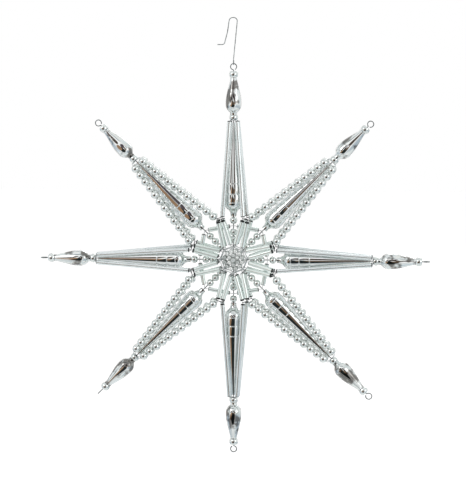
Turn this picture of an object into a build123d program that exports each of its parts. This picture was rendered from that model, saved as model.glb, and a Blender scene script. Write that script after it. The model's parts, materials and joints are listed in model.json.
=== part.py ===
"""Hanging eight-rayed star of silvered glass beads, drops, spindles and tubes on bent wire.

Millimetres. +Z is up and the front faces -Y. The origin is inside the hook's crown, where the star hangs.
A ray is described in its own plane: x runs out along the ray from the hub, y across it, z towards the front.
"""
import os
from itertools import product
from math import acos, atan2, cos, floor, radians, sin, sqrt

from build123d import *

# Clearances
wire_clearance = 0.12
bore_clearance = 0.2
seat_gap = 0.2
bead_gap = 0.15
tube_gap = 0.35

# Wires and their bends
spine_wire_diameter = 0.7
kite_wire_diameter = 0.5
tie_wire_diameter = 0.45
ring_wire_diameter = 0.5
core_wire_diameter = 0.8
hub_wire_diameter = 0.7
rosette_wire_diameter = 0.5
pin_wire_diameter = 0.8
hook_wire_diameter = 0.7
sharp_bend = 0.6
landing_bend = 1.0
ring_bend = 1.2
corner_bend = 2.0

# Rays, counted anticlockwise from the level one on the right as seen from the front
ray_names = ["e", "ne", "n", "nw", "w", "sw", "s", "se"]
edge_on_eyes = ["e", "w", "sw"]
ray_reach = 145.0

# Eyes at the two ends of a spine wire
eye_diameter = 5.2
eye_neck_bend = 0.8
eye_turn = 318.0
core_eye_bend = 0.6
core_eye_turn = 280.0

# Tip and collar beads: flattened round beads
tip_stem = 0.8
tip_bead_diameter = 6.6
tip_bead_length = 4.3
collar_bead_diameter = 6.4
collar_bead_length = 3.4

# Blown drops
drop_length = 27.4
drop_diameter = 11.6
drop_outer_neck_diameter = 4.6
drop_inner_neck_diameter = 5.0
drop_inner_neck_length = 1.2
drop_belly_from_inner_end = 7.8
drop_belly_roundness = 0.85
drop_round_length = 9.0
drop_lip_length = 0.9
drop_lip_rise = 0.35
glass_wall = 0.6

# Blown spindles: a cone, three ring grooves, a rounded cap and a neck
spindle_length = 69.0
spindle_collar_gap = 2.2
spindle_tip_diameter = 2.8
spindle_tip_land = 4.0
spindle_shoulder_diameter = 12.2
spindle_belly_diameter = 13.8
spindle_neck_diameter = 4.4
spindle_neck_length = 1.2
spindle_cap_length = 9.2
spindle_cap_roundness = 0.55
spindle_barrel_lengths = [6.4, 7.6]
spindle_groove_width = 1.0
spindle_groove_depth = 0.45
spindle_barrel_bulge = 0.22

# Glass tubes
tube_diameter = 3.2
tube_bore = 2.2
tube_end_gap = 1.2
tube_outer_gap = 0.6
tube_hub_gap = 0.4

# Kites: places in the plane of a ray where the wires in front and behind turn
corner_reach = 31.0
front_corner_half_width = 7.7
back_corner_half_width = 9.3
corner_depth = 7.0
tube_outer_half_width = 2.75
tube_outer_depth = 2.9
strand_outer_half_width = 3.3
strand_outer_depth = 3.6

# Round beads of the strands
strand_bead_diameter = 6.1
strand_bead_length = 5.85
strand_end_gap = 0.85

# Hub
core_ring_radius = 7.0
hub_ring_apothem = 9.2
hub_ring_depth = 4.6
hub_hook_half_width = 0.55
hub_hook_rise = 1.15
hub_hook_clearance = 0.3
hub_landing_reach = 11.2
hub_landing_half_width = 1.75
rosette_bead_counts = [6, 12]
rosette_bead_diameter = 3.3
rosette_bead_length = 3.0
centre_bead_diameter = 3.6
centre_bead_length = 3.2
centre_bead_lift = 1.0
pin_head_diameter = 1.9

# Tube bars round the hub and the beads on the ray axes
ring_reach_upright = 25.4
ring_reach_slanting = 30.4
ring_bar_end_gap = 2.8
axis_bead_diameter = 5.5
axis_bead_length = 5.3
axis_bead_spindle_gap = 0.4

# Hanger hook
hook_height = 34.4
hook_crown_half_width = 2.95
hook_crown_bend = 2.6
hook_link_half_width = 1.0
hook_link_flat = 0.04
hook_link_leg = 3.2
hook_leg_bend_drop = 10.2
hook_leg_bend_out = 1.5
hook_tip_drop = 19.7
hook_tip_out = 4.0
hook_tip_length = 5.0
hook_soft_bend = 8.0
hook_tip_bend = 2.0

# Stations along a ray, from its eye inwards
eye_radius = (eye_diameter - spine_wire_diameter) / 2
eye_centre = ray_reach - eye_diameter / 2
tip_bead_centre = eye_centre - eye_diameter / 2 - tip_stem - tip_bead_length / 2
drop_outer = tip_bead_centre - tip_bead_length / 2 - seat_gap
drop_inner = drop_outer - drop_length
collar_centre = drop_inner - seat_gap - collar_bead_length / 2
collar_inner = collar_centre - collar_bead_length / 2
kite_turn = collar_inner - kite_wire_diameter / 2 - wire_clearance
spindle_outer = collar_inner - spindle_collar_gap
spindle_inner = spindle_outer - spindle_length

# Bores, and the bundle of wires that share the collar's bore
spine_bore = spine_wire_diameter + 2 * bore_clearance
kite_bore = kite_wire_diameter + 2 * bore_clearance
rosette_bore = rosette_wire_diameter + 2 * bore_clearance
pin_bore = pin_wire_diameter + 2 * bore_clearance
bundle_radius = (spine_wire_diameter + kite_wire_diameter) / 2 + bore_clearance
bundle_offset = bundle_radius / sqrt(2)
collar_bore = 2 * bundle_radius + kite_wire_diameter + 2 * bore_clearance

# The star hangs with its top eye on the hook's lower bend
link_rest = eye_centre + eye_radius - (spine_wire_diameter + hook_wire_diameter) / 2 - wire_clearance
hub_centre = Vector(0, 0, hook_wire_diameter / 2 - hook_height - link_rest)

# Hub places that follow from the rings
ray_step = 360 / len(ray_names)
core_eye_radius = (core_wire_diameter + spine_wire_diameter) / 2 + wire_clearance
hub_ring_corner = hub_ring_apothem / cos(radians(ray_step / 2))
hub_ring_inside = hub_ring_corner - ring_bend * (1 / cos(radians(ray_step / 2)) - 1)
hub_hook_reach = hub_ring_inside - (hub_wire_diameter + kite_wire_diameter) / 2 - hub_hook_clearance
rosette_depth = core_eye_radius + spine_wire_diameter / 2 + seat_gap + rosette_bead_diameter / 2
centre_bead_depth = rosette_depth + centre_bead_lift
ring_depth = (spine_wire_diameter + ring_wire_diameter) / 2 + wire_clearance


def ray_plane(angle):
    """Plane of one ray: x out along the ray, y across it, z towards the front."""
    turn = radians(angle)
    return Plane(origin=hub_centre, x_dir=(cos(turn), 0, sin(turn)), z_dir=(0, -1, 0))


def place(plane, point):
    """Global place of a point given in a ray's plane."""
    return plane.from_local_coords(Vector(*point))


def part_way(start, end, distance):
    """Point at a distance from start on the way to end."""
    return start + (end - start).normalized() * distance


def run_plane(start, end, distance):
    """Plane across the line from start to end, at a distance from start."""
    return Plane(origin=part_way(start, end, distance), z_dir=end - start)


def axis_plane(name, reach):
    """Plane across a ray's axis, at a distance from the hub."""
    return Plane(origin=place(ray_planes[name], (reach, 0, 0)), z_dir=ray_planes[name].x_dir)


def bead(diameter, length, bore):
    """Round glass bead about z, with flat ends round its bore."""
    end_radius = sqrt(max(diameter**2 - length**2, 0)) / 2
    end_radius = max(end_radius, bore / 2 + bead_gap)
    with BuildPart() as ball:
        with BuildSketch(Plane.XZ):
            with BuildLine():
                inside = Polyline((end_radius, -length / 2), (bore / 2, -length / 2),
                                  (bore / 2, length / 2), (end_radius, length / 2))
                ThreePointArc(inside @ 1, (diameter / 2, 0), inside @ 0)
            make_face()
        revolve(axis=Axis.Z)
    return ball.part


def eye_outline(stem_end, centre, bend, radius, turn):
    """Points of an eye, along and across its stem: three on the neck's bend, then two on the round."""
    lean = acos(bend / (bend + radius))
    heading = 1 if centre > stem_end else -1
    neck = [(stem_end + heading * bend * sin(a), bend * (1 - cos(a))) for a in (0, lean / 2, lean)]
    angles = [radians(90) + lean - radians(turn) * share for share in (0.5, 1)]
    return neck + [(centre + heading * radius * cos(a), radius * sin(a)) for a in angles]


def stem_length(bend, radius):
    """Distance from the end of an eye's straight stem to the eye's centre."""
    return sqrt((bend + radius) ** 2 - bend**2)


def cap_arcs(start, end, roundness):
    """Draws a rounded cap from a belly down to a neck: one arc outwards and one back, level at their ends."""
    across, down = start[0] - end[0], start[1] - end[1]
    lean = 2 * atan2(down, across)
    round_radius = roundness * across / sin(lean)
    joint = (start[0] - round_radius * sin(lean), start[1] - round_radius * (1 - cos(lean)))
    TangentArc(start, joint, tangent=(-1, 0))
    TangentArc(joint, end, tangent=(-cos(lean), -sin(lean)))


def drop_side(inset):
    """Draws a drop's side from its inner neck over the belly to its lip, and gives the two ends."""
    belly = (drop_inner + drop_belly_from_inner_end, drop_diameter / 2 - inset)
    neck = (drop_inner + drop_inner_neck_length, drop_inner_neck_diameter / 2 - inset)
    taper = (lip_inner, drop_outer_neck_diameter / 2 - inset)
    slope = (belly[1] - taper[1]) / (taper[0] - belly[0] - drop_round_length / 2)
    shoulder = (belly[0] + drop_round_length, belly[1] - slope * drop_round_length / 2)
    cap_arcs(belly, neck, drop_belly_roundness)
    TangentArc(belly, shoulder, tangent=(1, 0))
    Line(shoulder, taper)
    return neck, taper


def corner_lean(front):
    """Lean of an upright ray's short tubes against the ray."""
    half_width = front_corner_half_width if front > 0 else back_corner_half_width
    return atan2(half_width - hub_landing_half_width, corner_reach - hub_landing_reach)


def upright_corner(front):
    """Corner of an upright or level ray's kite, in that ray's plane."""
    half_width = front_corner_half_width if front > 0 else back_corner_half_width
    return corner_reach, half_width, front * corner_depth


def slanting_corner(front):
    """Corner of a slanting ray's kite in its own plane, one tube and a gap beside its neighbour's."""
    reach, half_width, depth = upright_corner(front)
    span, lean = tube_diameter + tube_gap, corner_lean(front)
    reach, half_width = reach - span * sin(lean), half_width + span * cos(lean)
    turn = radians(ray_step)
    return reach * cos(turn) + half_width * sin(turn), reach * sin(turn) - half_width * cos(turn), depth


def kite_side(name, side, front):
    """Outer turn, corner and hub landing of one side of a kite, as global places."""
    slanting = name in slanting_rays
    half_width = strand_outer_half_width if slanting else tube_outer_half_width
    depth = strand_outer_depth if slanting else tube_outer_depth
    corner = slanting_corner(front) if slanting else upright_corner(front)
    points = [(kite_turn, half_width, front * depth), corner,
              (hub_landing_reach, hub_landing_half_width, front * hub_ring_depth)]
    return [place(ray_planes[name], (x, side * y, z)) for x, y, z in points]


def ring_node(name):
    """Corner of the ring of tube bars on one ray, in front of its spine wire."""
    return place(ray_planes[name], (ring_reaches[name], 0, ring_depth))


def axis_bead_places(name):
    """Planes of a ray's axis beads: a row from the bars to the hub and, on upright rays, one by the spindle."""
    beside = ray_names[ray_names.index(name) - 1]
    bar = ring_node(beside) - ring_node(name)
    slant = radians(bar.get_angle(hub_centre - ring_node(name)))
    first = ring_reaches[name] - ((tube_diameter + axis_bead_diameter) / 2 + tube_gap) / sin(slant)
    pitch = axis_bead_length + bead_gap
    count = floor((first - axis_bead_length / 2 - inner_stem - seat_gap) / pitch) + 1
    reaches = [first - index * pitch for index in range(count)]
    if name in upright_rays:
        reaches.append(spindle_inner - axis_bead_spindle_gap - axis_bead_length / 2)
    return [axis_plane(name, reach) for reach in reaches]


def rosette_radius(count):
    """Radius of the ring on which a number of rosette beads lie side by side."""
    return (rosette_bead_diameter + bead_gap) / 2 / sin(radians(180 / count))


def write(piece, name):
    """Labels a finished piece and writes its file."""
    piece.label = name
    export_step(piece, f"parts/{name}.step")


os.makedirs("parts", exist_ok=True)
ray_planes = {name: ray_plane(index * ray_step) for index, name in enumerate(ray_names)}
upright_rays = ray_names[0::2]
slanting_rays = ray_names[1::2]
sides = (1, -1)
front_plane = Plane(origin=hub_centre, x_dir=(1, 0, 0), z_dir=(0, -1, 0))

# Spine wires: a core eye, a straight stem and a tip eye
inner_stem = core_ring_radius + stem_length(core_eye_bend, core_eye_radius)
outer_stem = eye_centre - stem_length(eye_neck_bend, eye_radius)
core_eye = eye_outline(inner_stem, core_ring_radius, core_eye_bend, core_eye_radius, core_eye_turn)
tip_eye = eye_outline(outer_stem, eye_centre, eye_neck_bend, eye_radius, eye_turn)
for name, plane in ray_planes.items():
    inner = [(x, 0, y) for x, y in core_eye]
    outer = [(x, 0, y) if name in edge_on_eyes else (x, y, 0) for x, y in tip_eye]
    with BuildPart() as spine_wire:
        with BuildLine(plane) as spine_path:
            ThreePointArc(inner[4], inner[3], inner[2])
            ThreePointArc(inner[2], inner[1], inner[0])
            Line(inner[0], outer[0])
            ThreePointArc(outer[0], outer[1], outer[2])
            ThreePointArc(outer[2], outer[3], outer[4])
        with BuildSketch(Plane(origin=spine_path.line @ 0, z_dir=spine_path.line % 0)):
            Circle(spine_wire_diameter / 2)
        sweep()
    write(spine_wire.part, f"spine_wire_{name}")

# Blown drop: hollow, with a short inner neck and a small lip at the narrow outer end
lip_inner = drop_outer - drop_lip_length
with BuildPart() as drop:
    with BuildSketch():
        with BuildLine():
            neck, taper = drop_side(0)
            lip = ThreePointArc(taper, (lip_inner + drop_lip_length / 2, taper[1] + drop_lip_rise),
                                (drop_outer, taper[1]))
            Polyline(lip @ 1, (drop_outer, 0), (drop_inner, 0), (drop_inner, neck[1]), neck)
        make_face()
    revolve(axis=Axis.X)
    with BuildSketch():
        with BuildLine():
            neck, taper = drop_side(glass_wall)
            Polyline(taper, (taper[0], 0), (neck[0], 0), neck)
        make_face()
        with Locations((drop_inner, 0)):
            Rectangle(drop_length, spine_bore / 2, align=(Align.MIN, Align.MIN))
    revolve(axis=Axis.X, mode=Mode.SUBTRACT)

# Blown spindle: hollow, with ring grooves that part its belly into two barrels
neck_end = spindle_inner + spindle_neck_length
first_groove = neck_end + spindle_cap_length
second_groove = first_groove + spindle_barrel_lengths[0]
groove_reaches = [first_groove, second_groove, second_groove + spindle_barrel_lengths[1]]
belly_slope = (spindle_belly_diameter - spindle_shoulder_diameter) / 2 / sum(spindle_barrel_lengths)
groove_radii = [spindle_belly_diameter / 2 - belly_slope * (reach - first_groove) for reach in groove_reaches]
half_groove = spindle_groove_width / 2
cone_slope = (groove_radii[2] - spindle_tip_diameter / 2) / (spindle_outer - groove_reaches[2] - half_groove)
cavity_wall = glass_wall + spindle_groove_depth
with BuildPart() as spindle:
    with BuildSketch():
        with BuildLine():
            cone_base = (groove_reaches[2] + half_groove, groove_radii[2])
            cone = Line((spindle_outer, spindle_tip_diameter / 2), cone_base)
            for reach, radius in zip(groove_reaches, groove_radii):
                ThreePointArc((reach + half_groove, radius), (reach, radius - spindle_groove_depth),
                              (reach - half_groove, radius))
            for near, far in ((0, 1), (1, 2)):
                start = (groove_reaches[far] - half_groove, groove_radii[far])
                end = (groove_reaches[near] + half_groove, groove_radii[near])
                middle = (start[0] + end[0]) / 2, (start[1] + end[1]) / 2 + spindle_barrel_bulge
                ThreePointArc(start, middle, end)
            neck = (neck_end, spindle_neck_diameter / 2)
            cap_arcs((first_groove - half_groove, groove_radii[0]), neck, spindle_cap_roundness)
            Polyline(neck, (spindle_inner, neck[1]), (spindle_inner, 0), (spindle_outer, 0), cone @ 0)
        make_face()
    revolve(axis=Axis.X)
    with BuildSketch():
        with BuildLine():
            tip_reach = spindle_outer - spindle_tip_land
            tip_radius = spindle_tip_diameter / 2 + cone_slope * spindle_tip_land - glass_wall
            wide = (first_groove - half_groove, groove_radii[0] - cavity_wall)
            neck = (neck_end, spine_bore / 2)
            cap_arcs(wide, neck, spindle_cap_roundness)
            Polyline(neck, (neck_end, 0), (tip_reach, 0), (tip_reach, tip_radius),
                     (groove_reaches[2], groove_radii[2] - cavity_wall), wide)
        make_face()
        with Locations((spindle_inner, 0)):
            Rectangle(spindle_length, spine_bore / 2, align=(Align.MIN, Align.MIN))
    revolve(axis=Axis.X, mode=Mode.SUBTRACT)

# One drop and one spindle on every ray
for name, plane in ray_planes.items():
    with BuildPart() as ray_drop:
        with Locations(plane):
            add(drop.part)
    write(ray_drop.part, f"drop_{name}")
    with BuildPart() as ray_spindle:
        with Locations(plane):
            add(spindle.part)
    write(ray_spindle.part, f"spindle_{name}")

# Kite wires: from the collar's bore out to the side, in to the corner, round the hub ring and back
for name, plane in ray_planes.items():
    with BuildPart() as kite_wires:
        for front in sides:
            halves = []
            for side in sides:
                start = [place(plane, (reach, side * bundle_offset, front * bundle_offset))
                         for reach in (collar_centre, kite_turn)]
                hook_depth = front * (hub_ring_depth + side * hub_hook_rise)
                hook = place(plane, (hub_hook_reach, side * hub_hook_half_width, hook_depth))
                halves.append(start + kite_side(name, side, front) + [hook])
            bends = [sharp_bend, sharp_bend, corner_bend, landing_bend, sharp_bend]
            with BuildLine() as kite_path:
                FilletPolyline(*halves[0], *reversed(halves[1]), radius=bends + bends[::-1])
            with BuildSketch(Plane(origin=kite_path.line @ 0, z_dir=kite_path.line % 0)):
                Circle(kite_wire_diameter / 2)
            sweep()
    write(kite_wires.part, f"kite_wires_{name}")

# Long tubes of the upright and level rays
for name in upright_rays:
    with BuildPart() as long_tubes:
        for side, front in product(sides, sides):
            outer, corner, landing = kite_side(name, side, front)
            with BuildSketch(run_plane(corner, outer, tube_end_gap)):
                Circle(tube_diameter / 2)
                Circle(tube_bore / 2, mode=Mode.SUBTRACT)
            extrude(amount=(outer - corner).length - tube_end_gap - tube_outer_gap)
    write(long_tubes.part, f"long_tubes_{name}")

# Bead strands of the slanting rays
strand_bead = bead(strand_bead_diameter, strand_bead_length, kite_bore)
strand_pitch = strand_bead_length + bead_gap
for name in slanting_rays:
    bead_planes = []
    for side, front in product(sides, sides):
        outer, corner, landing = kite_side(name, side, front)
        room = (outer - corner).length - 2 * strand_end_gap
        count = floor((room + bead_gap) / strand_pitch)
        first = strand_end_gap + (room - count * strand_pitch + strand_pitch) / 2
        bead_planes += [run_plane(corner, outer, first + index * strand_pitch) for index in range(count)]
    with BuildPart() as bead_strands:
        with Locations(*bead_planes):
            add(strand_bead)
    write(bead_strands.part, f"bead_strands_{name}")

# Short tubes from the corners to the hub
for layer, front in (("front", 1), ("back", -1)):
    with BuildPart() as short_tubes:
        for name, side in product(ray_names, sides):
            outer, corner, landing = kite_side(name, side, front)
            with BuildSketch(run_plane(corner, landing, tube_end_gap)):
                Circle(tube_diameter / 2)
                Circle(tube_bore / 2, mode=Mode.SUBTRACT)
            extrude(amount=(landing - corner).length - tube_end_gap - tube_hub_gap)
    write(short_tubes.part, f"short_tubes_{layer}")

# Corner ties round the wires of neighbouring kites
tie_bend = (kite_wire_diameter + tie_wire_diameter) / 2 + wire_clearance
tie_span = tube_diameter + tube_gap
with BuildPart() as corner_ties:
    for name, side, front in product(upright_rays, sides, sides):
        plane = ray_planes[name]
        lean = corner_lean(front)
        reach, half_width, depth = upright_corner(front)
        origin = place(plane, (reach, side * half_width, depth))
        across = place(plane, (-sin(lean), side * cos(lean), 0)) - plane.origin
        inwards = place(plane, (cos(lean), side * sin(lean), 0)) - plane.origin
        with BuildLine(Plane(origin=origin, x_dir=across, z_dir=inwards)) as tie_path:
            Line((0, -tie_bend), (tie_span, -tie_bend))
            ThreePointArc((tie_span, -tie_bend), (tie_span + tie_bend, 0), (tie_span, tie_bend))
            Line((tie_span, tie_bend), (0, tie_bend))
            ThreePointArc((0, tie_bend), (-tie_bend, 0), (0, -tie_bend))
        with BuildSketch(Plane(origin=tie_path.line @ 0, z_dir=tie_path.line % 0)):
            Circle(tie_wire_diameter / 2)
        sweep()
write(corner_ties.part, "corner_ties")

# Beads on the ray axes
tip_bead = bead(tip_bead_diameter, tip_bead_length, spine_bore)
collar_bead = bead(collar_bead_diameter, collar_bead_length, collar_bore)
axis_bead = bead(axis_bead_diameter, axis_bead_length, spine_bore)
ring_reaches = {name: ring_reach_upright for name in upright_rays}
ring_reaches |= {name: ring_reach_slanting for name in slanting_rays}
with BuildPart() as tip_beads:
    with Locations(*[axis_plane(name, tip_bead_centre) for name in ray_names]):
        add(tip_bead)
write(tip_beads.part, "tip_beads")

with BuildPart() as collar_beads:
    with Locations(*[axis_plane(name, collar_centre) for name in ray_names]):
        add(collar_bead)
write(collar_beads.part, "collar_beads")

with BuildPart() as axis_beads:
    for name in ray_names:
        with Locations(*axis_bead_places(name)):
            add(axis_bead)
write(axis_beads.part, "axis_beads")

# Ring of tube bars in front of the spine wires, on its own wire
ring_nodes = [ring_node(name) for name in ray_names]
with BuildPart() as ring_wire:
    with BuildLine() as ring_path:
        FilletPolyline(*ring_nodes, radius=ring_bend, close=True)
    with BuildSketch(Plane(origin=ring_path.line @ 0, z_dir=ring_path.line % 0)):
        Circle(ring_wire_diameter / 2)
    sweep()
write(ring_wire.part, "ring_wire")

with BuildPart() as ring_bars:
    for start, end in zip(ring_nodes, ring_nodes[1:] + ring_nodes[:1]):
        with BuildSketch(run_plane(start, end, ring_bar_end_gap)):
            Circle(tube_diameter / 2)
            Circle(tube_bore / 2, mode=Mode.SUBTRACT)
        extrude(amount=(end - start).length - 2 * ring_bar_end_gap)
write(ring_bars.part, "ring_bars")

# Core ring inside the inner eyes of the spine wires
with BuildPart(front_plane) as core_ring:
    Torus(core_ring_radius, core_wire_diameter / 2)
write(core_ring.part, "core_ring")

# Hub rings: an eight-sided wire in front and behind, which the kite wires hook on
with BuildPart() as hub_ring_wires:
    for front in sides:
        with BuildLine() as hub_path:
            corners = [place(plane, (hub_ring_corner, 0, front * hub_ring_depth))
                       for plane in ray_planes.values()]
            FilletPolyline(*corners, radius=ring_bend, close=True)
        with BuildSketch(Plane(origin=hub_path.line @ 0, z_dir=hub_path.line % 0)):
            Circle(hub_wire_diameter / 2)
        sweep()
write(hub_ring_wires.part, "hub_ring_wires")

# Rosettes: two rings of beads, each on a bent wire, in front and behind
rosette_bead = bead(rosette_bead_diameter, rosette_bead_length, rosette_bore)
with BuildPart() as rosette_wires:
    for front, count in product(sides, rosette_bead_counts):
        corner = rosette_radius(count) / cos(radians(180 / count))
        with BuildLine() as rosette_path:
            corners = [place(ray_plane(index * 360 / count), (corner, 0, front * rosette_depth))
                       for index in range(count)]
            FilletPolyline(*corners, radius=landing_bend, close=True)
        with BuildSketch(Plane(origin=rosette_path.line @ 0, z_dir=rosette_path.line % 0)):
            Circle(rosette_wire_diameter / 2)
        sweep()
write(rosette_wires.part, "rosette_wires")

with BuildPart() as rosette_beads:
    for front, count in product(sides, rosette_bead_counts):
        for index in range(count):
            plane = ray_plane((index + 0.5) * 360 / count)
            middle = place(plane, (rosette_radius(count), 0, front * rosette_depth))
            with Locations(Plane(origin=middle, z_dir=plane.y_dir)):
                add(rosette_bead)
write(rosette_beads.part, "rosette_beads")

# Centre beads on the pin that clamps both rosettes
centre_bead = bead(centre_bead_diameter, centre_bead_length, pin_bore)
with BuildPart(front_plane) as centre_beads:
    with Locations((0, 0, centre_bead_depth), (0, 0, -centre_bead_depth)):
        add(centre_bead)
write(centre_beads.part, "centre_beads")

pin_reach = centre_bead_depth + centre_bead_length / 2 + seat_gap + pin_head_diameter / 2
with BuildPart(front_plane) as hub_pin:
    Cylinder(pin_wire_diameter / 2, 2 * pin_reach)
    with Locations((0, 0, pin_reach), (0, 0, -pin_reach)):
        Sphere(pin_head_diameter / 2)
write(hub_pin.part, "hub_pin")

# Hanger hook: a bend through the top eye, a leaning shank, a crown and a turned-out tip
hook_top = hook_wire_diameter / 2
hook_base = hook_top - hook_height
hook_points = [
    (0, hook_link_half_width, hook_base + hook_link_leg),
    (0, hook_link_half_width, hook_base),
    (0, -hook_link_half_width, hook_base),
    (0, -hook_link_half_width, hook_base + hook_link_leg),
    (hook_crown_half_width, 0, hook_top),
    (-hook_crown_half_width, 0, hook_top),
    (-hook_crown_half_width - hook_leg_bend_out, 0, hook_top - hook_leg_bend_drop),
    (-hook_crown_half_width - hook_tip_out, 0, hook_top - hook_tip_drop),
    (-hook_crown_half_width - hook_tip_out - hook_tip_length, 0, hook_top - hook_tip_drop),
]
link_bend = hook_link_half_width - hook_link_flat / 2
hook_bends = [link_bend, link_bend, hook_soft_bend, hook_crown_bend, hook_crown_bend, hook_soft_bend,
              hook_tip_bend]
with BuildPart() as hanger_hook:
    with BuildLine() as hook_path:
        FilletPolyline(*hook_points, radius=hook_bends)
    with BuildSketch(Plane(origin=hook_path.line @ 0, z_dir=hook_path.line % 0)):
        Circle(hook_wire_diameter / 2)
    sweep()
write(hanger_hook.part, "hanger_hook")
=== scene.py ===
"""Looks of a hanging eight-rayed star of silvered glass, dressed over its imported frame.

Metres, in the frame's own axes: +Z up, the front of the star towards -Y. Sizes of pieces are in millimetres.
"""
import json
import logging
from dataclasses import dataclass
from enum import Enum
from math import atan2, cos, hypot, pi, radians, sin, tan

import bmesh
import bpy
import numpy as np
from mathutils import Matrix, Vector


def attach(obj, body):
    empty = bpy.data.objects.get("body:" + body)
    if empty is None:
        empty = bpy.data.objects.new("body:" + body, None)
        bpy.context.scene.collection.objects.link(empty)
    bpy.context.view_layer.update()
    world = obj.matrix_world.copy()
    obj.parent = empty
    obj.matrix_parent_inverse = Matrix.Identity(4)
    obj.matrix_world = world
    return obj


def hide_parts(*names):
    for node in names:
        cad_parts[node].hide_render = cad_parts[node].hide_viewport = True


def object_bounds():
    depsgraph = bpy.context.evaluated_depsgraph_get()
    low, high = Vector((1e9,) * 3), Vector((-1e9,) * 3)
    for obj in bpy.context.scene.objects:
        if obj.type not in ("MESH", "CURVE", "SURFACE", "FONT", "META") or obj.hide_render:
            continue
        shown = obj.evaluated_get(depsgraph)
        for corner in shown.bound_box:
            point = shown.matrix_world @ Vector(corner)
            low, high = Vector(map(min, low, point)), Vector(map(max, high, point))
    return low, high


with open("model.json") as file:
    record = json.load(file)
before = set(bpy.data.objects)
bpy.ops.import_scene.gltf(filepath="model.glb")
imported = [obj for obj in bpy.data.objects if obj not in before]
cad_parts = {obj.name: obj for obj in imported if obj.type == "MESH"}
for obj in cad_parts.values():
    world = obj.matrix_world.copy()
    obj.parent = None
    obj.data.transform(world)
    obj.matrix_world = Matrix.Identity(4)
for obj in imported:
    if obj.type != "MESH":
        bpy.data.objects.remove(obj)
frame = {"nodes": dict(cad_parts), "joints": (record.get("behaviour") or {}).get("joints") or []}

LOG = logging.getLogger("star")
CAD_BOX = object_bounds()
MM = 0.001
MERGE = 1e-6
SHARP = radians(38)
# Rise of a quarter round over its chord, for a radius of 1
FILLET_RISE = 1 - 0.5 ** 0.5
# Mean value of a noise texture
NOISE_MIDDLE = 0.5
HUB = Vector(next(j["pos_m"] for j in frame["joints"] if j["name"] == "drop_spin_e"))


class Ray(Enum):
    """A ray of the star, with its turn from +X towards +Z in degrees."""

    E = 0
    NE = 45
    N = 90
    NW = 135
    W = 180
    SW = 225
    S = 270
    SE = 315

    @property
    def tag(self) -> str:
        """The ray's name as the frame's nodes have it."""
        return self.name.lower()

    @property
    def out(self) -> Vector:
        """Direction out along the ray."""
        return Vector((cos(radians(self.value)), 0.0, sin(radians(self.value))))

    @property
    def slanting(self) -> bool:
        """Whether the ray lies between an upright and a level one."""
        return self.value % 90 != 0


class Threading(Enum):
    """The way that the wire runs through a bead."""

    RADIAL = "along the ray"
    ROUND = "round the hub"
    STRAND = "towards the next bead"
    THROUGH = "from front to back"


def linear(colour: str) -> tuple[float, float, float, float]:
    """Turns an sRGB hex colour to linear.

    Args:
        colour: Six hex digits after a hash sign.

    Returns:
        Linear red, green, blue and an alpha of 1.
    """
    parts = [int(colour[i:i + 2], 16) / 255 for i in (1, 3, 5)]
    return (*[c / 12.92 if c <= 0.04045 else ((c + 0.055) / 1.055) ** 2.4 for c in parts], 1.0)


def add_node(tree: bpy.types.NodeTree, kind: str, inputs: dict | None = None,
             **settings: object) -> bpy.types.Node:
    """Adds a node with its settings, values and links.

    Args:
        tree: Node tree that takes the node.
        kind: The node's type name.
        inputs: Value or output socket for each named or numbered input.
        settings: Attributes of the node.

    Returns:
        The new node.
    """
    node = tree.nodes.new(kind)
    for key, value in settings.items():
        setattr(node, key, value)
    for key, value in (inputs or {}).items():
        if isinstance(value, bpy.types.NodeSocket):
            tree.links.new(value, node.inputs[key])
        else:
            node.inputs[key].default_value = value
    return node


def new_material(name: str) -> bpy.types.Material:
    """Makes an empty node material.

    Args:
        name: The material's name.

    Returns:
        The material, with no nodes in it.
    """
    material = bpy.data.materials.new(name)
    material.use_nodes = True
    material.node_tree.nodes.clear()
    return material


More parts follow.
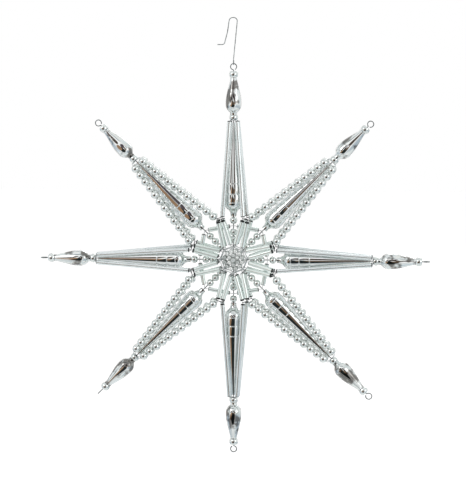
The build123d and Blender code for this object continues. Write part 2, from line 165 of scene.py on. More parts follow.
@dataclass(frozen=True)
class SilveredGlass:
    """Clear glass, blown or drawn, with a chemical silver film on its inside.

    The eye gets a mirror with the slow waves of hand-made glass, a clear gloss over it, and clouds and
    The waves and specks are drawn coarser than real ones, so that they show at this distance. Large dark
    specks, as on the drops, are partly painted dark reflection.
    """

    name: str
    bright: str = "#fafbfa"
    dull: str = "#dfe5e3"
    speck: str = "#8d8f86"
    roughness: float = 0.035
    roughness_rise: float = 2.5
    hazy_levels: tuple[float, float] = (0.4, 0.75)
    wave_mm: float = 7.0
    wave_depth_mm: float = 0.006
    cloud_mm: float = 16.0
    cloud_levels: tuple[float, float] = (0.45, 0.72)
    cloud_share: float = 0.55
    speck_mm: float = 1.3
    speck_share: float = 0.15
    speck_level: float = 0.62
    speck_edge: float = 0.1
    piece_tint: float = 0.35
    film_cover: float = 1.0
    coat: float = 0.35
    coat_roughness: float = 0.02
    glass_ior: float = 1.5

    def material(self) -> bpy.types.Material:
        """Builds the finish's node material.

        Returns:
            The material.
        """
        made = new_material(self.name)
        tree = made.node_tree
        place = add_node(tree, "ShaderNodeTexCoord").outputs["Object"]
        island = add_node(tree, "ShaderNodeNewGeometry").outputs["Random Per Island"]
        cloud = add_node(tree, "ShaderNodeTexNoise", {
            "Vector": place, "Scale": 1 / (self.cloud_mm * MM), "Detail": 3.0, "Roughness": 0.6})
        dulling = add_node(tree, "ShaderNodeMapRange", {
            "Value": cloud.outputs["Fac"], "From Min": self.cloud_levels[0],
            "From Max": self.cloud_levels[1], "To Max": self.cloud_share})
        by_piece = add_node(tree, "ShaderNodeMath", {
            0: island, 1: self.piece_tint, 2: dulling.outputs["Result"]},
            operation="MULTIPLY_ADD", use_clamp=True)
        film = add_node(tree, "ShaderNodeMix", {
            "Factor": by_piece.outputs[0], "A": linear(self.bright), "B": linear(self.dull)},
            data_type="RGBA")
        grain = add_node(tree, "ShaderNodeTexNoise", {
            "Vector": place, "Scale": 1 / (self.speck_mm * MM), "Detail": 2.0})
        specks = add_node(tree, "ShaderNodeMapRange", {
            "Value": grain.outputs["Fac"], "From Min": self.speck_level,
            "From Max": self.speck_level + self.speck_edge, "To Max": self.speck_share})
        colour = add_node(tree, "ShaderNodeMix", {
            "Factor": specks.outputs["Result"], "A": film.outputs["Result"], "B": linear(self.speck)},
            data_type="RGBA")
        gloss = add_node(tree, "ShaderNodeMapRange", {
            "Value": cloud.outputs["Fac"], "From Min": self.hazy_levels[0],
            "From Max": self.hazy_levels[1], "To Min": self.roughness,
            "To Max": self.roughness * self.roughness_rise})
        wave = add_node(tree, "ShaderNodeTexNoise", {
            "Vector": place, "Scale": 1 / (self.wave_mm * MM), "Detail": 1.0, "Roughness": 0.4})
        relief = add_node(tree, "ShaderNodeBump", {
            "Height": wave.outputs["Fac"], "Strength": 1.0, "Distance": self.wave_depth_mm * MM})
        shader = add_node(tree, "ShaderNodeBsdfPrincipled", {
            "Base Color": colour.outputs["Result"], "Metallic": self.film_cover,
            "Roughness": gloss.outputs["Result"], "Normal": relief.outputs["Normal"],
            "Coat Weight": self.coat, "Coat Roughness": self.coat_roughness, "Coat IOR": self.glass_ior})
        add_node(tree, "ShaderNodeOutputMaterial", {"Surface": shader.outputs["BSDF"]})
        return made


@dataclass(frozen=True)
class CutEnd:
    """Bare end and bore of a drawn glass tube, where the film is lost; both are painted near black, as
    painted shade of the bore that shows through the wall.
    """

    name: str
    # Painted shade: bore and wall are painted dark for the shade inside the tube
    bore: str = "#0d1112"
    wall: str = "#3c4747"
    mottle_mm: float = 0.9
    wall_levels: tuple[float, float] = (0.5, 0.75)
    roughness: float = 0.3
    glass_ior: float = 1.5

    def material(self) -> bpy.types.Material:
        """Builds the finish's node material.

        Returns:
            The material.
        """
        made = new_material(self.name)
        tree = made.node_tree
        place = add_node(tree, "ShaderNodeTexCoord").outputs["Object"]
        mottle = add_node(tree, "ShaderNodeTexNoise", {
            "Vector": place, "Scale": 1 / (self.mottle_mm * MM), "Detail": 2.0})
        share = add_node(tree, "ShaderNodeMapRange", {
            "Value": mottle.outputs["Fac"], "From Min": self.wall_levels[0],
            "From Max": self.wall_levels[1]})
        colour = add_node(tree, "ShaderNodeMix", {
            "Factor": share.outputs["Result"], "A": linear(self.bore), "B": linear(self.wall)},
            data_type="RGBA")
        shader = add_node(tree, "ShaderNodeBsdfPrincipled", {
            "Base Color": colour.outputs["Result"], "Roughness": self.roughness, "IOR": self.glass_ior})
        add_node(tree, "ShaderNodeOutputMaterial", {"Surface": shader.outputs["BSDF"]})
        return made


@dataclass(frozen=True)
class DrawnWire:
    """Drawn steel wire: a grey metal with fine dark and bright runs from the die and some dull oxide."""

    name: str
    bright: str = "#f6f8f8"
    oxide: str = "#d2d8d8"
    roughness: float = 0.3
    roughness_rise: float = 1.7
    run_mm: float = 2.5
    run_levels: tuple[float, float] = (0.4, 0.65)

    def material(self) -> bpy.types.Material:
        """Builds the finish's node material.

        Returns:
            The material.
        """
        made = new_material(self.name)
        tree = made.node_tree
        place = add_node(tree, "ShaderNodeTexCoord").outputs["Object"]
        runs = add_node(tree, "ShaderNodeTexNoise", {
            "Vector": place, "Scale": 1 / (self.run_mm * MM), "Detail": 4.0})
        share = add_node(tree, "ShaderNodeMapRange", {
            "Value": runs.outputs["Fac"], "From Min": self.run_levels[0], "From Max": self.run_levels[1]})
        colour = add_node(tree, "ShaderNodeMix", {
            "Factor": share.outputs["Result"], "A": linear(self.bright), "B": linear(self.oxide)},
            data_type="RGBA")
        gloss = add_node(tree, "ShaderNodeMapRange", {
            "Value": share.outputs["Result"], "To Min": self.roughness,
            "To Max": self.roughness * self.roughness_rise})
        shader = add_node(tree, "ShaderNodeBsdfPrincipled", {
            "Base Color": colour.outputs["Result"], "Metallic": 1.0, "Roughness": gloss.outputs["Result"]})
        add_node(tree, "ShaderNodeOutputMaterial", {"Surface": shader.outputs["BSDF"]})
        return made


class Turning:
    """Outline of a turned piece beside its axis, spun into a closed mesh.

    The axis is X. The outline is drawn in millimetres as distance along the axis and radius.
    """

    belly_steps: int = 9
    neck_steps: int = 5

    def __init__(self, along: float, radius: float) -> None:
        """Starts the outline at a point.

        Args:
            along: Distance along the axis, mm.
            radius: Distance from the axis, mm.
        """
        self.mesh = bmesh.new()
        self.first = self.mesh.verts.new((along * MM, radius * MM, 0.0))
        self.last = self.first

    def line(self, along: float, radius: float, steps: int = 1) -> "Turning":
        """Draws a straight run to a point.

        Args:
            along: Distance along the axis, mm.
            radius: Distance from the axis, mm.
            steps: Number of equal edges.

        Returns:
            The outline itself.
        """
        run = (Vector((along * MM, radius * MM, 0.0)) - self.last.co) / steps
        for _ in range(steps):
            self.last = bmesh.ops.extrude_vert_indiv(self.mesh, verts=[self.last])["verts"][0]
            bmesh.ops.translate(self.mesh, verts=[self.last], vec=run)
        return self

    def arc(self, along: float, radius: float, rise: float, steps: int) -> "Turning":
        """Draws an arc to a point.

        Args:
            along: Distance along the axis, mm.
            radius: Distance from the axis, mm.
            rise: Height of the arc over its chord, mm, positive away from the axis.
            steps: Number of equal edges.

        Returns:
            The outline itself.
        """
        end = Vector((along * MM, radius * MM, 0.0))
        chord = end - self.last.co
        height = rise * MM
        outwards = Vector((-chord.y, chord.x, 0.0)).normalized()
        if outwards.y < 0:
            outwards.negate()
        bend = (chord.length_squared / 4 + height * height) / (2 * height)
        centre = (self.last.co + end) / 2 + outwards * (height - bend)
        turn = 4 * atan2(2 * height, chord.length)
        if chord.cross(outwards).z > 0:
            turn = -turn
        made = bmesh.ops.spin(self.mesh, geom=[self.last], cent=centre, axis=(0, 0, 1), dvec=(0, 0, 0),
                              angle=turn, steps=steps, use_merge=False)
        self.last = next(part for part in made["geom_last"] if isinstance(part, bmesh.types.BMVert))
        return self

    def level_arc(self, along: float, radius: float, steps: int, level_at_end: bool = False) -> "Turning":
        """Draws an arc that runs level with the axis at its start, or at its end.

        Args:
            along: Distance along the axis, mm.
            radius: Distance from the axis, mm.
            steps: Number of equal edges.
            level_at_end: Whether the arc is level at its end instead of its start.

        Returns:
            The outline itself.
        """
        run, drop = abs(along * MM - self.last.co.x), self.last.co.y - radius * MM
        rise = hypot(run, drop) / 2 * tan(atan2(drop, run) / 2) / MM
        return self.arc(along, radius, -rise if level_at_end else rise, steps)

    def cap(self, along: float, radius: float, roundness: float) -> "Turning":
        """Draws a rounded cap from a belly down to a neck, level at both.

        Args:
            along: Distance of the neck along the axis, mm.
            radius: The neck's radius, mm.
            roundness: Share of the way that the outward arc takes.

        Returns:
            The outline itself.
        """
        start = self.last.co / MM
        across, down = start.x - along, start.y - radius
        lean = 2 * atan2(down, across)
        bend = roundness * across / sin(lean)
        self.level_arc(start.x - bend * sin(lean), start.y - bend * (1 - cos(lean)), self.belly_steps)
        return self.level_arc(along, radius, self.neck_steps, level_at_end=True)

    def spin(self, steps: int) -> bmesh.types.BMesh:
        """Closes the outline and spins it round the axis.

        Args:
            steps: Number of faces round the piece.

        Returns:
            The closed mesh, with its faces outwards.
        """
        bmesh.ops.contextual_create(self.mesh, geom=[self.last, self.first])
        outline = self.mesh.verts[:] + self.mesh.edges[:]
        bmesh.ops.spin(self.mesh, geom=outline, cent=(0, 0, 0), axis=(1, 0, 0), dvec=(0, 0, 0),
                       angle=2 * pi, steps=steps, use_merge=True)
        bmesh.ops.remove_doubles(self.mesh, verts=self.mesh.verts, dist=MERGE)
        # A spin leaves its faces in another order in each run, and the sorted ones are always the same
        self.mesh.verts.index_update()
        self.mesh.faces.sort(key=self.rank)
        bmesh.ops.recalc_face_normals(self.mesh, faces=self.mesh.faces)
        return self.mesh

    def rank(self, face: bmesh.types.BMFace) -> int:
        """Gives a face its place in the order of the points."""
        points = [vert.index for vert in face.verts]
        return min(points) * len(self.mesh.verts) + max(points)


def solids(node: str) -> list[np.ndarray]:
    """Finds the separate solids of a frame node.

    Args:
        node: The node's name.

    Returns:
        The points of each solid, in metres.
    """
    merged = bmesh.new()
    merged.from_mesh(frame["nodes"][node].data)
    bmesh.ops.remove_doubles(merged, verts=merged.verts, dist=MERGE)
    # A dict keeps its order, so that a piece has the same place and tint in each run
    left, found = dict.fromkeys(merged.verts), []
    while left:
        island, edge = [], [left.popitem()[0]]
        while edge:
            vert = edge.pop()
            island.append(vert.co[:])
            for beside in (link.other_vert(vert) for link in vert.link_edges):
                if beside in left:
                    del left[beside]
                    edge.append(beside)
        found.append(np.array(island))
    merged.free()
    return found


def along(direction: Vector, start: Vector) -> Matrix:
    """Gives the place of a turned piece.

    Args:
        direction: The way that the piece's axis points.
        start: The place of the piece's zero.

    Returns:
        The matrix that carries the turned mesh there.
    """
    return Matrix.Translation(start) @ direction.to_track_quat("X", "Y").to_matrix().to_4x4()


def stamp(target: bmesh.types.BMesh, unit: bmesh.types.BMesh, place: Matrix) -> None:
    """Adds a copy of a turned mesh to a larger one.

    Args:
        target: Mesh that takes the copy.
        unit: The turned mesh.
        place: Where the copy goes.
    """
    carrier = bpy.data.meshes.new("carrier")
    unit.to_mesh(carrier)
    count = len(target.verts)
    target.from_mesh(carrier)
    bpy.data.meshes.remove(carrier)
    target.verts.ensure_lookup_table()
    bmesh.ops.transform(target, matrix=place, verts=target.verts[count:])


def show(name: str, mesh: bmesh.types.BMesh, finishes: list[bpy.types.Material], body: str,
         node: str) -> None:
    """Makes a mesh a piece that stands for a frame node.

    Args:
        name: The piece's name.
        mesh: Its finished mesh, in the row's frame.
        finishes: Its materials, in slot order.
        body: The body that it rides on.
        node: The frame node that it replaces.
    """
    data = bpy.data.meshes.new(name)
    mesh.to_mesh(data)
    mesh.free()
    for finish in finishes:
        data.materials.append(finish)
    data.shade_smooth()
    data.set_sharp_from_angle(angle=SHARP)
    made = bpy.data.objects.new(name, data)
    bpy.context.scene.collection.objects.link(made)
    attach(made, body)
    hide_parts(node)
    LOG.info("%s on %s: %d faces", name, body, len(data.polygons))


@dataclass
class Drops:
    """Blown drops near the tips of the rays: a short neck, a round belly, a straight taper and a lip."""

    inner: float = 107.1
    length: float = 27.4
    neck: float = 5.0
    neck_length: float = 1.2
    belly: float = 7.8
    diameter: float = 11.6
    roundness: float = 0.85
    round_length: float = 9.0
    outer_neck: float = 4.6
    lip: float = 0.9
    lip_rise: float = 0.35
    bore: float = 1.1
    round_steps: int = 44

    def turned(self) -> bmesh.types.BMesh:
        """Spins one drop about the ray's axis, with the hub at zero.

        Returns:
            The closed mesh.
        """
        outer, belly = self.inner + self.length, self.inner + self.belly
        taper = (outer - self.lip, self.outer_neck / 2)
        slope = (self.diameter / 2 - taper[1]) / (taper[0] - belly - self.round_length / 2)
        shape = Turning(outer, self.bore / 2)
        shape.line(outer, self.outer_neck / 2)
        shape.arc(*taper, self.lip_rise, steps=4)
        shape.line(belly + self.round_length, self.diameter / 2 - slope * self.round_length / 2, steps=6)
        shape.level_arc(belly, self.diameter / 2, steps=8, level_at_end=True)
        shape.cap(self.inner + self.neck_length, self.neck / 2, self.roundness)
        shape.line(self.inner, self.neck / 2)
        shape.line(self.inner, self.bore / 2)
        return shape.spin(self.round_steps)

    def build(self, finish: bpy.types.Material) -> None:
        """Sets a drop on every ray.

        Args:
            finish: The drops' glass.
        """
        for ray in Ray:
            mesh = self.turned()
            bmesh.ops.transform(mesh, matrix=along(ray.out, HUB), verts=mesh.verts)
            node = f"drop_{ray.tag}"
            show(f"glass_{node}", mesh, [finish], body=node, node=node)


@dataclass
class Spindles:
    """Blown spindles: a long cone, two barrels between ring grooves, a rounded cap and a neck."""

    inner: float = 32.3
    length: float = 69.0
    tip: float = 2.8
    shoulder: float = 12.2
    belly: float = 13.8
    neck: float = 4.4
    neck_length: float = 1.2
    cap_length: float = 9.2
    roundness: float = 0.55
    barrels: tuple[float, float] = (6.4, 7.6)
    groove_width: float = 1.0
    groove_depth: float = 0.45
    barrel_bulge: float = 0.08
    bore: float = 1.1
    round_steps: int = 48

    def turned(self) -> bmesh.types.BMesh:
        """Spins one spindle about the ray's axis, with the hub at zero.

        Returns:
            The closed mesh.
        """
        half = self.groove_width / 2
        neck_end = self.inner + self.neck_length
        grooves = [neck_end + self.cap_length]
        for barrel in self.barrels:
            grooves.append(grooves[-1] + barrel)
        slope = (self.belly - self.shoulder) / 2 / sum(self.barrels)
        radii = [self.belly / 2 - slope * (reach - grooves[0]) for reach in grooves]
        shape = Turning(self.inner + self.length, self.bore / 2)
        shape.line(self.inner + self.length, self.tip / 2)
        shape.line(grooves[-1] + half, radii[-1], steps=14)
        for index in reversed(range(len(grooves))):
            shape.arc(grooves[index] - half, radii[index], -self.groove_depth, steps=6)
            if index:
                shape.arc(grooves[index - 1] + half, radii[index - 1], self.barrel_bulge, steps=6)
        shape.cap(neck_end, self.neck / 2, self.roundness)
        shape.line(self.inner, self.neck / 2)
        shape.line(self.inner, self.bore / 2)
        return shape.spin(self.round_steps)

    def build(self, finish: bpy.types.Material) -> None:
        """Sets a spindle on every ray.

        Args:
            finish: The spindles' glass.
        """
        for ray in Ray:
            mesh = self.turned()
            bmesh.ops.transform(mesh, matrix=along(ray.out, HUB), verts=mesh.verts)
            node = f"spindle_{ray.tag}"
            show(f"glass_{node}", mesh, [finish], body=node, node=node)


@dataclass
class Tubes:
    """Drawn glass tubes of one node, open at both ends."""

    node: str
    # Lengths of the tube ends that take the dark cut-end finish, which is painted shade
    shaded_end_near_hub: float = 0.5
    shaded_end_far_end: float = 0.5
    bore: float = 2.2
    rim: float = 0.35
    round_steps: int = 24

    def turned(self, length: float, radius: float) -> bmesh.types.BMesh:
        """Spins one tube from zero along X.

        Args:
            length: The tube's length, mm.
            radius: Its outer radius, mm.

        Returns:
            The closed mesh, whose bare ends and bore have the second material, painted dark as their shade.
        """
        near, far = self.shaded_end_near_hub, length - self.shaded_end_far_end
        rise = self.rim * FILLET_RISE
        mid_wall = (radius + self.bore / 2) / 2
        shape = Turning(0.0, self.bore / 2)
        shape.line(0.0, radius - self.rim).arc(self.rim, radius, rise, steps=3)
        shape.line(near, radius).line(far, radius, steps=4)
        shape.line(length - self.rim, radius).arc(length, radius - self.rim, rise, steps=3)
        shape.line(length, self.bore / 2)
        mesh = shape.spin(self.round_steps)
        for face in mesh.faces:
            middle = face.calc_center_median() / MM
            silvered = near < middle.x < far and hypot(middle.y, middle.z) > mid_wall
            face.material_index = 0 if silvered else 1
        return mesh

    def build(self, silver: bpy.types.Material, cut_end_shade: bpy.types.Material) -> None:
        """Sets a tube in the place of each of the node's solids.

        Args:
            silver: The silvered glass.
            cut_end_shade: The ends and the bore, painted dark as painted shade.
        """
        whole = bmesh.new()
        for points in solids(self.node):
            middle = points.mean(axis=0)
            axis = np.linalg.eigh(np.cov((points - middle).T))[1][:, -1]
            if axis.dot(middle - np.array(HUB)) < 0:
                axis = -axis
            reach = (points - middle) @ axis
            off_axis = np.linalg.norm(points - middle - np.outer(reach, axis), axis=1)
            tube = self.turned((reach.max() - reach.min()) / MM, off_axis.max() / MM)
            stamp(whole, tube, along(Vector(axis), Vector(middle + axis * reach.min())))
            tube.free()
        show(f"glass_{self.node}", whole, [silver, cut_end_shade], body="star", node=self.node)


@dataclass
class Beads:
    """Round blown beads of one node, each threaded on its wire."""

    node: str
    threading: Threading
    bore: float
    round_steps: int = 18
    arc_steps: int = 8

    def turned(self, length: float, radius: float) -> bmesh.types.BMesh:
        """Spins one bead about X, with its middle at zero.

        Args:
            length: The bead's length along its wire, mm.
            radius: Its outer radius, mm.

        Returns:
            The closed mesh.
        """
        half = length / 2
        end = (radius * radius - half * half) ** 0.5
        shape = Turning(-half, self.bore / 2)
        shape.line(-half, end).arc(half, end, radius - end, self.arc_steps).line(half, self.bore / 2)
        return shape.spin(self.round_steps)

    def build(self, finish: bpy.types.Material) -> None:
        """Sets a bead in the place of each of the node's solids.

        Args:
            finish: The beads' glass.
        """
        groups = solids(self.node)
        middles = [Vector((points.min(axis=0) + points.max(axis=0)) / 2) for points in groups]
        whole = bmesh.new()
        for points, middle in zip(groups, middles):
            axis = self.wire(middle, middles)
            from_middle = points - np.array(middle)
            reach = from_middle @ np.array(axis)
            off_axis = np.linalg.norm(from_middle - np.outer(reach, np.array(axis)), axis=1)
            bead = self.turned((reach.max() - reach.min()) / MM, off_axis.max() / MM)
            stamp(whole, bead, along(axis, middle))
            bead.free()
        show(f"glass_{self.node}", whole, [finish], body="star", node=self.node)

    def wire(self, middle: Vector, middles: list[Vector]) -> Vector:
        """Finds the way of the wire through a bead.

        Args:
            middle: The bead's middle.
            middles: The middles of all beads of the node.

        Returns:
            Unit vector along the wire.
        """
        front = Vector((0.0, -1.0, 0.0))
        radial = (middle - HUB) - front * (middle - HUB).dot(front)
        if self.threading is Threading.THROUGH:
            return front
        if self.threading is Threading.RADIAL:
            return radial.normalized()
        if self.threading is Threading.ROUND:
            return radial.cross(front).normalized()
        ways = (other - middle for other in middles if other is not middle)
        return min(ways, key=lambda way: way.length).normalized()


@dataclass
class Wires:
    """Bent wires, which keep the frame's own shapes."""

    # Thin and bright, so that it is lost beside the glass
    bead_wire: DrawnWire = DrawnWire("drawn_bead_wire")
    # Grey, so that the eyes at the tips stand out from the white ground
    spine_wire: DrawnWire = DrawnWire("drawn_spine_wire", bright="#9ca1a1", oxide="#5d6262")
    # Lighter grey with dull runs
    hook_wire: DrawnWire = DrawnWire("drawn_hook_wire", bright="#c6caca", oxide="#6f7373")
    # Nearly black wraps at the corners: partly oxide, partly painted shade
    shaded_tie_wire: DrawnWire = DrawnWire("tie_wire_oxide_and_shade", bright="#4b5151", oxide="#232828")
    on_bead_wire: tuple[str, ...] = ("kite_wires_", "ring_wire", "core_ring", "hub_ring_wires",
                                     "rosette_wires", "hub_pin")

    def dress(self) -> None:
        """Gives every wire node its finish."""
        starts = {"spine_wire_": self.spine_wire.material(), "hanger_hook": self.hook_wire.material(),
                  "corner_ties": self.shaded_tie_wire.material()}
        starts.update(dict.fromkeys(self.on_bead_wire, self.bead_wire.material()))
        for name, node in frame["nodes"].items():
            for start, finish in starts.items():
                if name.startswith(start):
                    node.data.materials.clear()
                    node.data.materials.append(finish)
                    LOG.info("%s keeps its frame mesh in %s", name, finish.name)


class Paint(Enum):
    """Colours of the boards, in sRGB."""

    BLACK = "#252b2c"
    UMBER = "#4d423b"
    PLUM = "#5a5560"
    BROWN = "#7b6450"
    TAN = "#987a60"


@dataclass(frozen=True)
class Board:
    """Painted board before the star that only the glass shows.

    Its place and half sizes are sines of angles, rightwards and up from where a mirror that faces the
    camera's side looks. It is turned, in degrees, from level towards up.
    """

    name: str
    paint: Paint
    right: float
    up: float
    half_wide: float
    half_high: float
    turn: float = 0.0
    edge: float = 0.08

    def hang(self, tree: bpy.types.NodeTree, view: bpy.types.NodeSocket,
             behind: bpy.types.NodeSocket) -> bpy.types.NodeSocket:
        """Hangs the board before a colour.

        Args:
            tree: The world's node tree.
            view: The way that a ray looks, from where a mirror that faces the camera's side looks.
            behind: The colour that the board covers.

        Returns:
            The colour of the board and of what it leaves open.
        """
        level = add_node(tree, "ShaderNodeVectorRotate", {
            "Vector": view, "Center": (self.right, 0.0, self.up), "Angle": radians(self.turn)},
            rotation_type="Y_AXIS")
        apart = add_node(tree, "ShaderNodeVectorMath", {
            0: level.outputs["Vector"], 1: (1 / self.half_wide, 0.0, 1 / self.half_high),
            2: (-self.right / self.half_wide, 0.0, -self.up / self.half_high)}, operation="MULTIPLY_ADD")
        reach = add_node(tree, "ShaderNodeVectorMath", {0: apart.outputs["Vector"]}, operation="LENGTH")
        share = add_node(tree, "ShaderNodeMapRange", {
            "Value": reach.outputs["Value"], "From Min": 1 - self.edge, "From Max": 1 + self.edge,
            "To Min": 1.0, "To Max": 0.0})
        covered = add_node(tree, "ShaderNodeMix", {
            "Factor": share.outputs["Result"], "A": behind, "B": linear(self.paint.value)},
            data_type="RGBA", label=self.name)
        return covered.outputs["Result"]


@dataclass(frozen=True)
class Lamp:
    """Soft square lamp that faces the hub: place from the hub and side in metres, power in watts."""

    name: str
    place: tuple[float, float, float]
    side: float
    power: float

    def hang(self) -> None:
        """Sets the lamp in the scene."""
        data = bpy.data.lights.new(self.name, "AREA")
        data.shape = "SQUARE"
        data.size = self.side
        data.energy = self.power
        lamp = bpy.data.objects.new(self.name, data)
        lamp.location = HUB + Vector(self.place)
        lamp.rotation_euler = Vector(self.place).to_track_quat("Z", "Y").to_euler()
        bpy.context.scene.collection.objects.link(lamp)


@dataclass
class Studio:
    """White tent, floor, lamps and camera."""

    mm_per_pixel: float = 0.741
    image: tuple[int, int] = (466, 499)
    hub_pixel: tuple[float, float] = (233.6, 259.6)
    camera_distance: float = 1.5
    camera_azimuth: float = 6.0
    camera_elevation: float = 6.0
    sensor: float = 24.0
    floor_below: float = 0.03
    floor_size: float = 6.0
    white: str = "#ffffff"
    low: str = "#fbfcfc"
    cloth: str = "#f1f4f4"
    cloth_dark: str = "#dde4e5"
    fold_scale: float = 2.2
    fold_levels: tuple[float, float, float] = (0.38, 0.52, 0.64)
    cool: str = "#d8e3ee"
    warm: str = "#f6f1eb"
    tint_levels: tuple[float, float, float] = (0.36, 0.5, 0.64)
    low_shade: str = "#cbd3dc"
    shade_middle: float = -0.28
    shade_half: float = 0.24
    shade_core: float = 0.12
    ring_sines: tuple[float, float] = (0.62, 0.9)
    ring_lift: float = 0.15
    seam: str = "#8b9598"
    seam_sines: tuple[float, float] = (0.72, 0.84)
    seam_levels: tuple[float, float] = (0.42, 0.56)
    boards: tuple[Board, ...] = (
        Board("body", Paint.BLACK, 0.0, -0.14, 0.5, 0.37),
        Board("spire", Paint.BLACK, 0.0, 0.25, 0.09, 0.2),
        Board("left", Paint.TAN, -0.38, -0.05, 0.34, 0.14, 45.0),
        Board("right", Paint.BROWN, 0.34, 0.07, 0.18, 0.1),
        Board("top", Paint.PLUM, 0.18, 0.48, 0.32, 0.1, 45.0),
        Board("top_left", Paint.UMBER, -0.33, 0.37, 0.34, 0.12, 45.0),
        Board("top_right", Paint.UMBER, 0.36, 0.36, 0.34, 0.14, -45.0))
    back_shrink: float = 1.6
    back_edge: float = 0.1
    waver: float = 0.07
    waver_scale: float = 7.0
    lamps: tuple[Lamp, ...] = (
        Lamp("key_lamp", (-1.1, -1.2, 0.9), 0.7, 3.0),
        Lamp("fill_lamp", (1.2, -0.9, 0.4), 0.7, 2.0),
        Lamp("back_lamp", (0.3, 1.3, 0.8), 0.8, 2.5))

    def build(self) -> None:
        """Makes the whole studio and sets its camera."""
        bpy.context.scene.view_settings.view_transform = "Standard"
        self.tent()
        self.floor()
        for lamp in self.lamps:
            lamp.hang()
        self.camera()

    def tent(self) -> None:
        """Lights the world as a pale tent with dark boards in front of the star.

        The camera and the floor see plain white. The glass shows the tent with its boards, and each round
        piece gets from it a dark line along its middle with a bright line on both sides.
        """
        world = bpy.data.worlds.new("tent")
        bpy.context.scene.world = world
        world.use_nodes = True
        tree = world.node_tree
        tree.nodes.clear()
        direction = add_node(tree, "ShaderNodeTexCoord").outputs["Generated"]
        waves = add_node(tree, "ShaderNodeTexNoise", {
            "Vector": direction, "Scale": self.waver_scale, "Detail": 2.0})
        turn, lift = radians(self.camera_azimuth), radians(self.camera_elevation)
        waver_middle = NOISE_MIDDLE * self.waver
        middle = (waver_middle - sin(turn), 0.0, waver_middle - sin(lift))
        shaken = add_node(tree, "ShaderNodeVectorMath", {
            0: waves.outputs["Color"], 1: (self.waver, 0.0, self.waver), 2: direction},
            operation="MULTIPLY_ADD")
        offset = add_node(tree, "ShaderNodeVectorMath", {0: shaken.outputs["Vector"], 1: middle},
                          operation="SUBTRACT").outputs["Vector"]
        pale = self.cloth_colour(tree, direction, offset, waves.outputs["Fac"])
        mirrored = self.with_boards(tree, offset, pale)
        path = add_node(tree, "ShaderNodeLightPath")
        seen = add_node(tree, "ShaderNodeMix", {
            "Factor": path.outputs["Is Glossy Ray"], "A": linear(self.white), "B": mirrored},
            data_type="RGBA")
        sky = add_node(tree, "ShaderNodeBackground", {"Color": seen.outputs["Result"], "Strength": 1.0})
        add_node(tree, "ShaderNodeOutputWorld", {"Surface": sky.outputs["Background"]})

    def cloth_colour(self, tree: bpy.types.NodeTree, direction: bpy.types.NodeSocket,
                     offset: bpy.types.NodeSocket, waves: bpy.types.NodeSocket) -> bpy.types.NodeSocket:
        """Makes the tent's cloth: white in front, greyer in its folds, cooler below, with a thin seam.

        Args:
            tree: The world's node tree.
            direction: The way that a ray looks.
            offset: The same, from where a mirror that faces the camera's side looks.
            waves: Soft noise.

        Returns:
            The cloth's colour.
        """
        folds = add_node(tree, "ShaderNodeTexNoise", {
            "Vector": direction, "Scale": self.fold_scale, "Detail": 2.0})
        cloth = add_node(tree, "ShaderNodeValToRGB", {"Fac": folds.outputs["Fac"]})
        self.stops(cloth, self.fold_levels, (self.cloth_dark, self.cloth, self.low))
        tint = add_node(tree, "ShaderNodeValToRGB", {"Fac": waves})
        self.stops(tint, self.tint_levels, (self.cool, self.white, self.warm))
        tinted = add_node(tree, "ShaderNodeMix", {
            "Factor": 1.0, "A": cloth.outputs["Color"], "B": tint.outputs["Color"]},
            data_type="RGBA", blend_type="MULTIPLY")
        height = add_node(tree, "ShaderNodeSeparateXYZ", {"Vector": offset}).outputs["Z"]
        below = add_node(tree, "ShaderNodeMath", {0: height, 1: self.shade_middle}, operation="SUBTRACT")
        from_band = add_node(tree, "ShaderNodeMath", {0: below.outputs[0]}, operation="ABSOLUTE")
        shade = add_node(tree, "ShaderNodeMapRange", {
            "Value": from_band.outputs[0], "From Min": self.shade_core, "From Max": self.shade_half})
        shaded = add_node(tree, "ShaderNodeMix", {
            "Factor": shade.outputs["Result"], "A": linear(self.low_shade), "B": linear(self.white)},
            data_type="RGBA")
        graded = add_node(tree, "ShaderNodeMix", {
            "Factor": 1.0, "A": tinted.outputs["Result"], "B": shaded.outputs["Result"]},
            data_type="RGBA", blend_type="MULTIPLY")
        flat = add_node(tree, "ShaderNodeVectorMath", {
            0: offset, 1: (1.0, 0.0, 1.0), 2: (0.0, 0.0, -self.ring_lift)}, operation="MULTIPLY_ADD")
        away = add_node(tree, "ShaderNodeVectorMath", {0: flat.outputs["Vector"]}, operation="LENGTH")
        ring = add_node(tree, "ShaderNodeMapRange", {
            "Value": away.outputs["Value"], "From Min": self.ring_sines[0],
            "From Max": self.ring_sines[1]})
        ringed = add_node(tree, "ShaderNodeMix", {
            "Factor": ring.outputs["Result"], "A": linear(self.white), "B": graded.outputs["Result"]},
            data_type="RGBA")
        seam_middle = sum(self.seam_sines) / 2
        seam_half = (self.seam_sines[1] - self.seam_sines[0]) / 2
        beside = add_node(tree, "ShaderNodeMath", {
            0: away.outputs["Value"], 1: seam_middle, 2: seam_half}, operation="COMPARE")
        broken = add_node(tree, "ShaderNodeMapRange", {
            "Value": folds.outputs["Fac"], "From Min": self.seam_levels[0],
            "From Max": self.seam_levels[1]})
        seam = add_node(tree, "ShaderNodeMath", {0: beside.outputs[0], 1: broken.outputs["Result"]},
                        operation="MULTIPLY")
        seamed = add_node(tree, "ShaderNodeMix", {
            "Factor": seam.outputs[0], "A": ringed.outputs["Result"], "B": linear(self.seam)},
            data_type="RGBA")
        return seamed.outputs["Result"]

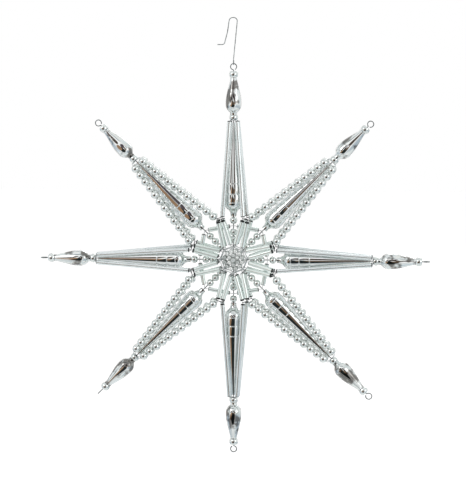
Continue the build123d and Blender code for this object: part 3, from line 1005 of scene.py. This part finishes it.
    def with_boards(self, tree: bpy.types.NodeTree, offset: bpy.types.NodeSocket,
                    colour: bpy.types.NodeSocket) -> bpy.types.NodeSocket:
        """Hangs the boards before the cloth, and smaller ones behind the star, which leave its edges pale.

        Args:
            tree: The world's node tree.
            offset: The way that a ray looks, from where a mirror that faces the camera's side looks.
            colour: The cloth's colour.

        Returns:
            The colour of cloth and boards.
        """
        rear = add_node(tree, "ShaderNodeSeparateXYZ", {"Vector": offset}).outputs["Y"]
        shrink = add_node(tree, "ShaderNodeMapRange", {
            "Value": rear, "From Min": -self.back_edge, "From Max": self.back_edge, "To Min": 1.0,
            "To Max": self.back_shrink})
        view = add_node(tree, "ShaderNodeVectorMath", {0: offset, "Scale": shrink.outputs["Result"]},
                        operation="SCALE").outputs["Vector"]
        for board in self.boards:
            colour = board.hang(tree, view, colour)
        return colour

    @staticmethod
    def stops(ramp: bpy.types.Node, levels: tuple[float, ...], colours: tuple[str, ...]) -> None:
        """Sets the stops of a colour ramp.

        Args:
            ramp: The ramp's node.
            levels: Position of each stop, in order.
            colours: The sRGB hex colour of each stop.
        """
        elements = ramp.color_ramp.elements
        while len(elements) < len(levels):
            elements.new(1.0)
        for element, level, colour in zip(elements, levels, colours):
            element.position = level
            element.color = linear(colour)

    def floor(self) -> None:
        """Lays a plain white floor under the hanging star."""
        mesh = bmesh.new()
        bmesh.ops.create_grid(mesh, x_segments=1, y_segments=1, size=self.floor_size / 2)
        bmesh.ops.translate(mesh, verts=mesh.verts, vec=(0.0, 0.0, CAD_BOX[0][2] - self.floor_below))
        data = bpy.data.meshes.new("floor")
        mesh.to_mesh(data)
        mesh.free()
        # Matt white paint: no edge against the white ground, and it keeps the shadow
        paint = new_material("floor_white")
        tree = paint.node_tree
        matt = add_node(tree, "ShaderNodeBsdfDiffuse", {"Color": linear(self.white)})
        add_node(tree, "ShaderNodeOutputMaterial", {"Surface": matt.outputs["BSDF"]})
        data.materials.append(paint)
        floor = bpy.data.objects.new("floor", data)
        floor.visible_glossy = False
        bpy.context.scene.collection.objects.link(floor)

    def camera(self) -> None:
        """Sets the camera at the photo's angle, so that the hub falls on its pixel."""
        wide, high = self.image
        pixel = self.mm_per_pixel * MM
        turn, lift = radians(self.camera_azimuth), radians(self.camera_elevation)
        towards = Vector((sin(turn) * cos(lift), -cos(turn) * cos(lift), sin(lift)))
        facing = towards.to_track_quat("Z", "Y")
        shift = Vector((wide / 2 - self.hub_pixel[0], self.hub_pixel[1] - high / 2, 0.0)) * pixel
        data = bpy.data.cameras.new("camera")
        data.sensor_fit = "VERTICAL"
        data.sensor_height = self.sensor
        data.lens = self.sensor * self.camera_distance / (high * pixel)
        camera = bpy.data.objects.new("camera", data)
        camera.location = HUB + facing @ shift + towards * self.camera_distance
        camera.rotation_euler = facing.to_euler()
        bpy.context.scene.collection.objects.link(camera)
        bpy.context.scene.camera = camera


def main() -> None:
    """Builds the glass, dresses the wires and sets the studio."""
    logging.basicConfig(level=logging.INFO, format="%(name)s: %(message)s")
    # Spindles: the brightest mirror, blown, with slow waves
    blown = SilveredGlass("silvered_blown_glass").material()
    # Long tubes: drawn straight, so calmer, with a thin film that lets pale glass through
    drawn = SilveredGlass("silvered_drawn_tube", bright="#f6fafa", dull="#d8e3e4", wave_mm=11.0,
                          wave_depth_mm=0.003, roughness=0.08, film_cover=0.75).material()
    # Strand, tip, collar and axis beads: small bright mirrors that differ a little
    beads = SilveredGlass("silvered_blown_beads", bright="#f9fbf9", dull="#dadfdc", wave_mm=3.5,
                          wave_depth_mm=0.008).material()
    # Rosette: small beads with rubbed film, some much greyer than others
    worn = SilveredGlass("silvered_beads_worn", bright="#fafcfa", dull="#9aa2a0", wave_mm=3.5,
                         wave_depth_mm=0.002, roughness=0.12, piece_tint=0.6, film_cover=0.6).material()
    # Short tubes and ring bars: a thinner film than on the long tubes, pale and slightly green
    hazed = SilveredGlass("silvered_tube_hazed", bright="#f4fbf8", dull="#d9e6e1", wave_mm=11.0,
                          wave_depth_mm=0.003, roughness=0.07, film_cover=0.65).material()
    # Ends of all tubes: rim and bore painted dark, as painted shade
    cut_end_shade = CutEnd("cut_end_painted_shade").material()
    # Drops: brown clouds, partly where damp has got at the film and partly painted dark reflection
    tarnish_and_reflection = SilveredGlass("silvered_glass_tarnish_and_reflection", speck="#51473f", speck_mm=7.0, speck_share=0.8,
                              speck_level=0.49).material()
    Drops().build(tarnish_and_reflection)
    Spindles().build(blown)
    for ray in Ray:
        if ray.slanting:
            Beads(f"bead_strands_{ray.tag}", Threading.STRAND, bore=0.9, round_steps=16,
                  arc_steps=6).build(beads)
        else:
            Tubes(f"long_tubes_{ray.tag}", shaded_end_near_hub=0.7, shaded_end_far_end=0.4).build(drawn, cut_end_shade)
    Tubes("short_tubes_front", shaded_end_near_hub=0.4, shaded_end_far_end=1.2).build(hazed, cut_end_shade)
    Tubes("short_tubes_back", shaded_end_near_hub=0.4, shaded_end_far_end=0.9).build(hazed, cut_end_shade)
    Tubes("ring_bars", shaded_end_near_hub=0.4, shaded_end_far_end=0.4).build(hazed, cut_end_shade)
    Beads("tip_beads", Threading.RADIAL, bore=1.1).build(beads)
    Beads("collar_beads", Threading.RADIAL, bore=2.5).build(beads)
    Beads("axis_beads", Threading.RADIAL, bore=1.1).build(beads)
    Beads("rosette_beads", Threading.ROUND, bore=0.9).build(worn)
    Beads("centre_beads", Threading.THROUGH, bore=1.2).build(worn)
    Wires().dress()
    Studio().build()


if __name__ == "__main__":
    main()
